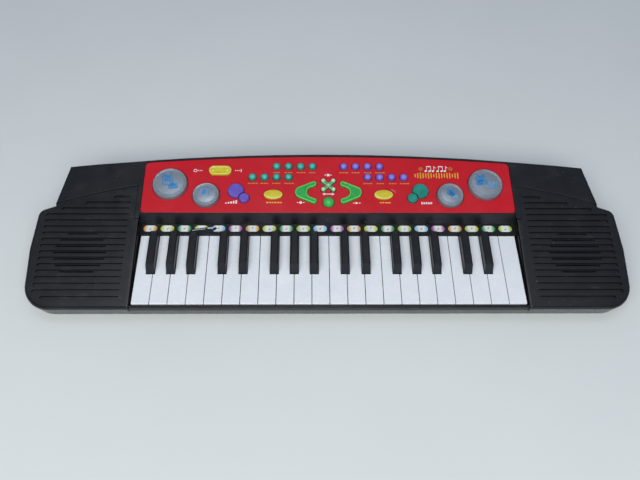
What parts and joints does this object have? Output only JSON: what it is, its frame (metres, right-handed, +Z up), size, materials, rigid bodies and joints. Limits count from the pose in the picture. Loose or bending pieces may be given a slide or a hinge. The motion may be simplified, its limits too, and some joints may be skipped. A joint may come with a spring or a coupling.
{
  "type": "toy electronic keyboard",
  "caption": "Small battery toy keyboard with short piano keys, a sloping control panel, drum pads, rocker and press buttons, and grooved speaker wings.",
  "frame": {"origin": "middle of the footprint, on the surface that the feet stand on", "axes": "+X along the keys towards the high notes, +Y from the player to the rear edge, +Z up"},
  "size_m": [0.548, 0.16, 0.0411],
  "materials": {
    "case_black": "satin",
    "base_black": "satin",
    "panel_red": "satin",
    "key_white": "gloss",
    "key_black": "gloss",
    "pad_silver": "satin",
    "button_teal": "satin",
    "button_purple": "satin",
    "button_yellow": "satin",
    "button_green": "satin",
    "button_mint": "gloss",
    "board_green": "matte",
    "speaker_dark": "matte",
    "dome_rubber": "matte",
    "steel": "plated",
    "label_print": "printed film"
  },
  "bodies": {
    "root": {"top_case": "case_black", "bottom_case": "base_black", "battery_door": "base_black", "control_panel": "panel_red", "circuit_boards": "board_green", "speakers": "speaker_dark", "contact_rubber": "dome_rubber", "metal_hardware": "steel"},
    "pad_large_left": {"pad_large_left": "pad_silver"},
    "pad_large_right": {"pad_large_right": "pad_silver"},
    "pad_small_left": {"pad_small_left": "pad_silver"},
    "pad_small_right": {"pad_small_right": "pad_silver"},
    "power_switch": {"power_switch": "button_yellow"},
    "volume_rocker": {"volume_rocker": "button_purple"},
    "tempo_rocker": {"tempo_rocker": "button_teal"},
    "tone_buttons": {"tone_buttons": "button_teal"},
    "rhythm_buttons": {"rhythm_buttons": "button_purple"},
    "oval_button_left": {"oval_button_left": "button_yellow"},
    "oval_button_right": {"oval_button_right": "button_yellow"},
    "arrow_button_left": {"arrow_button_left": "button_green"},
    "arrow_button_right": {"arrow_button_right": "button_green"},
    "cross_button": {"cross_button": "button_mint"},
    "round_button": {"round_button": "button_green"},
    "white_key_01": {"white_key_01": "key_white"},
    "white_key_02": {"white_key_02": "key_white"},
    "white_key_03": {"white_key_03": "key_white"},
    "white_key_04": {"white_key_04": "key_white"},
    "white_key_05": {"white_key_05": "key_white"},
    "white_key_06": {"white_key_06": "key_white"},
    "white_key_07": {"white_key_07": "key_white"},
    "white_key_08": {"white_key_08": "key_white"},
    "white_key_09": {"white_key_09": "key_white"},
    "white_key_10": {"white_key_10": "key_white"},
    "white_key_11": {"white_key_11": "key_white"},
    "white_key_12": {"white_key_12": "key_white"},
    "white_key_13": {"white_key_13": "key_white"},
    "white_key_14": {"white_key_14": "key_white"},
    "white_key_15": {"white_key_15": "key_white"},
    "white_key_16": {"white_key_16": "key_white"},
    "white_key_17": {"white_key_17": "key_white"},
    "white_key_18": {"white_key_18": "key_white"},
    "white_key_19": {"white_key_19": "key_white"},
    "white_key_20": {"white_key_20": "key_white"},
    "white_key_21": {"white_key_21": "key_white"},
    "white_key_22": {"white_key_22": "key_white"},
    "black_key_01": {"black_key_01": "key_black"},
    "black_key_02": {"black_key_02": "key_black"},
    "black_key_03": {"black_key_03": "key_black"},
    "black_key_04": {"black_key_04": "key_black"},
    "black_key_05": {"black_key_05": "key_black"},
    "black_key_06": {"black_key_06": "key_black"},
    "black_key_07": {"black_key_07": "key_black"},
    "black_key_08": {"black_key_08": "key_black"},
    "black_key_09": {"black_key_09": "key_black"},
    "black_key_10": {"black_key_10": "key_black"},
    "black_key_11": {"black_key_11": "key_black"},
    "black_key_12": {"black_key_12": "key_black"},
    "black_key_13": {"black_key_13": "key_black"},
    "black_key_14": {"black_key_14": "key_black"},
    "black_key_15": {"black_key_15": "key_black"}
  },
  "joints": [
    {"name": "pad_large_left_press", "type": "slide", "parent": "root", "child": "pad_large_left", "axis": [0, 0.1045, -0.9945], "range_m": [0, 0.0016], "stiffness_N_per_m": 600, "springref_m": -0.001},
    {"name": "pad_large_right_press", "type": "slide", "parent": "root", "child": "pad_large_right", "axis": [0, 0.1045, -0.9945], "range_m": [0, 0.0016], "stiffness_N_per_m": 600, "springref_m": -0.001},
    {"name": "pad_small_left_press", "type": "slide", "parent": "root", "child": "pad_small_left", "axis": [0, 0.1045, -0.9945], "range_m": [0, 0.0016], "stiffness_N_per_m": 600, "springref_m": -0.001},
    {"name": "pad_small_right_press", "type": "slide", "parent": "root", "child": "pad_small_right", "axis": [0, 0.1045, -0.9945], "range_m": [0, 0.0016], "stiffness_N_per_m": 600, "springref_m": -0.001},
    {"name": "power_switch_rock", "type": "hinge", "parent": "root", "child": "power_switch", "pos_m": [-0.1045, 0.06068, 0.03528], "axis": [0, 0.9945, 0.1045], "range_deg": [-3, 3], "stiffness_Nm_per_rad": 0.15},
    {"name": "volume_rocker_rock", "type": "hinge", "parent": "root", "child": "volume_rocker", "pos_m": [-0.08446, 0.03429, 0.0325], "axis": [0.6982, 0.712, 0.0748], "range_deg": [-3, 3], "stiffness_Nm_per_rad": 0.15},
    {"name": "tempo_rocker_rock", "type": "hinge", "parent": "root", "child": "tempo_rocker", "pos_m": [0.08446, 0.03429, 0.0325], "axis": [-0.6982, 0.712, 0.0748], "range_deg": [-3, 3], "stiffness_Nm_per_rad": 0.15},
    {"name": "tone_buttons_press", "type": "slide", "parent": "root", "child": "tone_buttons", "axis": [0, 0.1045, -0.9945], "range_m": [0, 0.0012], "stiffness_N_per_m": 500, "springref_m": -0.001},
    {"name": "rhythm_buttons_press", "type": "slide", "parent": "root", "child": "rhythm_buttons", "axis": [0, 0.1045, -0.9945], "range_m": [0, 0.0012], "stiffness_N_per_m": 500, "springref_m": -0.001},
    {"name": "oval_button_left_press", "type": "slide", "parent": "root", "child": "oval_button_left", "axis": [0, 0.1045, -0.9945], "range_m": [0, 0.0012], "stiffness_N_per_m": 500, "springref_m": -0.001},
    {"name": "oval_button_right_press", "type": "slide", "parent": "root", "child": "oval_button_right", "axis": [0, 0.1045, -0.9945], "range_m": [0, 0.0012], "stiffness_N_per_m": 500, "springref_m": -0.001},
    {"name": "arrow_button_left_press", "type": "slide", "parent": "root", "child": "arrow_button_left", "axis": [0, 0.1045, -0.9945], "range_m": [0, 0.0012], "stiffness_N_per_m": 500, "springref_m": -0.001},
    {"name": "arrow_button_right_press", "type": "slide", "parent": "root", "child": "arrow_button_right", "axis": [0, 0.1045, -0.9945], "range_m": [0, 0.0012], "stiffness_N_per_m": 500, "springref_m": -0.001},
    {"name": "cross_button_press", "type": "slide", "parent": "root", "child": "cross_button", "axis": [0, 0.1045, -0.9945], "range_m": [0, 0.0012], "stiffness_N_per_m": 500, "springref_m": -0.001},
    {"name": "round_button_press", "type": "slide", "parent": "root", "child": "round_button", "axis": [0, 0.1045, -0.9945], "range_m": [0, 0.0012], "stiffness_N_per_m": 500, "springref_m": -0.001},
    {"name": "white_key_01_press", "type": "hinge", "parent": "root", "child": "white_key_01", "pos_m": [-0.1715, 0.0083, 0.016], "axis": [1, 0, 0], "range_deg": [0, 2.3], "stiffness_Nm_per_rad": 0.6, "springref_deg": -1.72},
    {"name": "black_key_01_press", "type": "hinge", "parent": "root", "child": "black_key_01", "pos_m": [-0.1622, 0.0083, 0.016], "axis": [1, 0, 0], "range_deg": [0, 3], "stiffness_Nm_per_rad": 0.6, "springref_deg": -1.72},
    {"name": "white_key_02_press", "type": "hinge", "parent": "root", "child": "white_key_02", "pos_m": [-0.1531, 0.0083, 0.016], "axis": [1, 0, 0], "range_deg": [0, 2.3], "stiffness_Nm_per_rad": 0.6, "springref_deg": -1.72},
    {"name": "black_key_02_press", "type": "hinge", "parent": "root", "child": "black_key_02", "pos_m": [-0.144, 0.0083, 0.016], "axis": [1, 0, 0], "range_deg": [0, 3], "stiffness_Nm_per_rad": 0.6, "springref_deg": -1.72},
    {"name": "white_key_03_press", "type": "hinge", "parent": "root", "child": "white_key_03", "pos_m": [-0.1349, 0.0083, 0.016], "axis": [1, 0, 0], "range_deg": [0, 2.3], "stiffness_Nm_per_rad": 0.6, "springref_deg": -1.72},
    {"name": "black_key_03_press", "type": "hinge", "parent": "root", "child": "black_key_03", "pos_m": [-0.1258, 0.0083, 0.016], "axis": [1, 0, 0], "range_deg": [0, 3], "stiffness_Nm_per_rad": 0.6, "springref_deg": -1.72},
    {"name": "white_key_04_press", "type": "hinge", "parent": "root", "child": "white_key_04", "pos_m": [-0.1165, 0.0083, 0.016], "axis": [1, 0, 0], "range_deg": [0, 2.3], "stiffness_Nm_per_rad": 0.6, "springref_deg": -1.72},
    {"name": "white_key_05_press", "type": "hinge", "parent": "root", "child": "white_key_05", "pos_m": [-0.10715, 0.0083, 0.016], "axis": [1, 0, 0], "range_deg": [0, 2.3], "stiffness_Nm_per_rad": 0.6, "springref_deg": -1.72},
    {"name": "black_key_04_press", "type": "hinge", "parent": "root", "child": "black_key_04", "pos_m": [-0.0975, 0.0083, 0.016], "axis": [1, 0, 0], "range_deg": [0, 3], "stiffness_Nm_per_rad": 0.6, "springref_deg": -1.72},
    {"name": "white_key_06_press", "type": "hinge", "parent": "root", "child": "white_key_06", "pos_m": [-0.088, 0.0083, 0.016], "axis": [1, 0, 0], "range_deg": [0, 2.3], "stiffness_Nm_per_rad": 0.6, "springref_deg": -1.72},
    {"name": "black_key_05_press", "type": "hinge", "parent": "root", "child": "black_key_05", "pos_m": [-0.0785, 0.0083, 0.016], "axis": [1, 0, 0], "range_deg": [0, 3], "stiffness_Nm_per_rad": 0.6, "springref_deg": -1.72},
    {"name": "white_key_07_press", "type": "hinge", "parent": "root", "child": "white_key_07", "pos_m": [-0.06885, 0.0083, 0.016], "axis": [1, 0, 0], "range_deg": [0, 2.3], "stiffness_Nm_per_rad": 0.6, "springref_deg": -1.72},
    {"name": "white_key_21_press", "type": "hinge", "parent": "root", "child": "white_key_21", "pos_m": [0.15515, 0.0083, 0.016], "axis": [1, 0, 0], "range_deg": [0, 2.3], "stiffness_Nm_per_rad": 0.6, "springref_deg": -1.72},
    {"name": "white_key_22_press", "type": "hinge", "parent": "root", "child": "white_key_22", "pos_m": [0.168, 0.0083, 0.016], "axis": [1, 0, 0], "range_deg": [0, 2.3], "stiffness_Nm_per_rad": 0.6, "springref_deg": -1.72},
    {"name": "white_key_08_press", "type": "hinge", "parent": "root", "child": "white_key_08", "pos_m": [-0.0595, 0.0083, 0.016], "axis": [1, 0, 0], "range_deg": [0, 2.3], "stiffness_Nm_per_rad": 0.6, "springref_deg": -1.72},
    {"name": "white_key_09_press", "type": "hinge", "parent": "root", "child": "white_key_09", "pos_m": [-0.0411, 0.0083, 0.016], "axis": [1, 0, 0], "range_deg": [0, 2.3], "stiffness_Nm_per_rad": 0.6, "springref_deg": -1.72},
    {"name": "white_key_10_press", "type": "hinge", "parent": "root", "child": "white_key_10", "pos_m": [-0.0229, 0.0083, 0.016], "axis": [1, 0, 0], "range_deg": [0, 2.3], "stiffness_Nm_per_rad": 0.6, "springref_deg": -1.72},
    {"name": "white_key_11_press", "type": "hinge", "parent": "root", "child": "white_key_11", "pos_m": [-0.0045, 0.0083, 0.016], "axis": [1, 0, 0], "range_deg": [0, 2.3], "stiffness_Nm_per_rad": 0.6, "springref_deg": -1.72},
    {"name": "white_key_12_press", "type": "hinge", "parent": "root", "child": "white_key_12", "pos_m": [0.00485, 0.0083, 0.016], "axis": [1, 0, 0], "range_deg": [0, 2.3], "stiffness_Nm_per_rad": 0.6, "springref_deg": -1.72},
    {"name": "white_key_13_press", "type": "hinge", "parent": "root", "child": "white_key_13", "pos_m": [0.024, 0.0083, 0.016], "axis": [1, 0, 0], "range_deg": [0, 2.3], "stiffness_Nm_per_rad": 0.6, "springref_deg": -1.72},
    {"name": "white_key_14_press", "type": "hinge", "parent": "root", "child": "white_key_14", "pos_m": [0.04315, 0.0083, 0.016], "axis": [1, 0, 0], "range_deg": [0, 2.3], "stiffness_Nm_per_rad": 0.6, "springref_deg": -1.72},
    {"name": "white_key_15_press", "type": "hinge", "parent": "root", "child": "white_key_15", "pos_m": [0.0525, 0.0083, 0.016], "axis": [1, 0, 0], "range_deg": [0, 2.3], "stiffness_Nm_per_rad": 0.6, "springref_deg": -1.72},
    {"name": "white_key_16_press", "type": "hinge", "parent": "root", "child": "white_key_16", "pos_m": [0.0709, 0.0083, 0.016], "axis": [1, 0, 0], "range_deg": [0, 2.3], "stiffness_Nm_per_rad": 0.6, "springref_deg": -1.72},
    {"name": "white_key_17_press", "type": "hinge", "parent": "root", "child": "white_key_17", "pos_m": [0.0891, 0.0083, 0.016], "axis": [1, 0, 0], "range_deg": [0, 2.3], "stiffness_Nm_per_rad": 0.6, "springref_deg": -1.72},
    {"name": "white_key_18_press", "type": "hinge", "parent": "root", "child": "white_key_18", "pos_m": [0.1075, 0.0083, 0.016], "axis": [1, 0, 0], "range_deg": [0, 2.3], "stiffness_Nm_per_rad": 0.6, "springref_deg": -1.72},
    {"name": "white_key_19_press", "type": "hinge", "parent": "root", "child": "white_key_19", "pos_m": [0.11685, 0.0083, 0.016], "axis": [1, 0, 0], "range_deg": [0, 2.3], "stiffness_Nm_per_rad": 0.6, "springref_deg": -1.72},
    {"name": "white_key_20_press", "type": "hinge", "parent": "root", "child": "white_key_20", "pos_m": [0.136, 0.0083, 0.016], "axis": [1, 0, 0], "range_deg": [0, 2.3], "stiffness_Nm_per_rad": 0.6, "springref_deg": -1.72},
    {"name": "black_key_06_press", "type": "hinge", "parent": "root", "child": "black_key_06", "pos_m": [-0.0502, 0.0083, 0.016], "axis": [1, 0, 0], "range_deg": [0, 3], "stiffness_Nm_per_rad": 0.6, "springref_deg": -1.72},
    {"name": "black_key_07_press", "type": "hinge", "parent": "root", "child": "black_key_07", "pos_m": [-0.032, 0.0083, 0.016], "axis": [1, 0, 0], "range_deg": [0, 3], "stiffness_Nm_per_rad": 0.6, "springref_deg": -1.72},
    {"name": "black_key_08_press", "type": "hinge", "parent": "root", "child": "black_key_08", "pos_m": [-0.0138, 0.0083, 0.016], "axis": [1, 0, 0], "range_deg": [0, 3], "stiffness_Nm_per_rad": 0.6, "springref_deg": -1.72},
    {"name": "black_key_09_press", "type": "hinge", "parent": "root", "child": "black_key_09", "pos_m": [0.0145, 0.0083, 0.016], "axis": [1, 0, 0], "range_deg": [0, 3], "stiffness_Nm_per_rad": 0.6, "springref_deg": -1.72},
    {"name": "black_key_10_press", "type": "hinge", "parent": "root", "child": "black_key_10", "pos_m": [0.0335, 0.0083, 0.016], "axis": [1, 0, 0], "range_deg": [0, 3], "stiffness_Nm_per_rad": 0.6, "springref_deg": -1.72},
    {"name": "black_key_11_press", "type": "hinge", "parent": "root", "child": "black_key_11", "pos_m": [0.0618, 0.0083, 0.016], "axis": [1, 0, 0], "range_deg": [0, 3], "stiffness_Nm_per_rad": 0.6, "springref_deg": -1.72},
    {"name": "black_key_12_press", "type": "hinge", "parent": "root", "child": "black_key_12", "pos_m": [0.08, 0.0083, 0.016], "axis": [1, 0, 0], "range_deg": [0, 3], "stiffness_Nm_per_rad": 0.6, "springref_deg": -1.72},
    {"name": "black_key_13_press", "type": "hinge", "parent": "root", "child": "black_key_13", "pos_m": [0.0982, 0.0083, 0.016], "axis": [1, 0, 0], "range_deg": [0, 3], "stiffness_Nm_per_rad": 0.6, "springref_deg": -1.72},
    {"name": "black_key_14_press", "type": "hinge", "parent": "root", "child": "black_key_14", "pos_m": [0.1265, 0.0083, 0.016], "axis": [1, 0, 0], "range_deg": [0, 3], "stiffness_Nm_per_rad": 0.6, "springref_deg": -1.72},
    {"name": "black_key_15_press", "type": "hinge", "parent": "root", "child": "black_key_15", "pos_m": [0.1455, 0.0083, 0.016], "axis": [1, 0, 0], "range_deg": [0, 3], "stiffness_Nm_per_rad": 0.6, "springref_deg": -1.72}
  ]
}
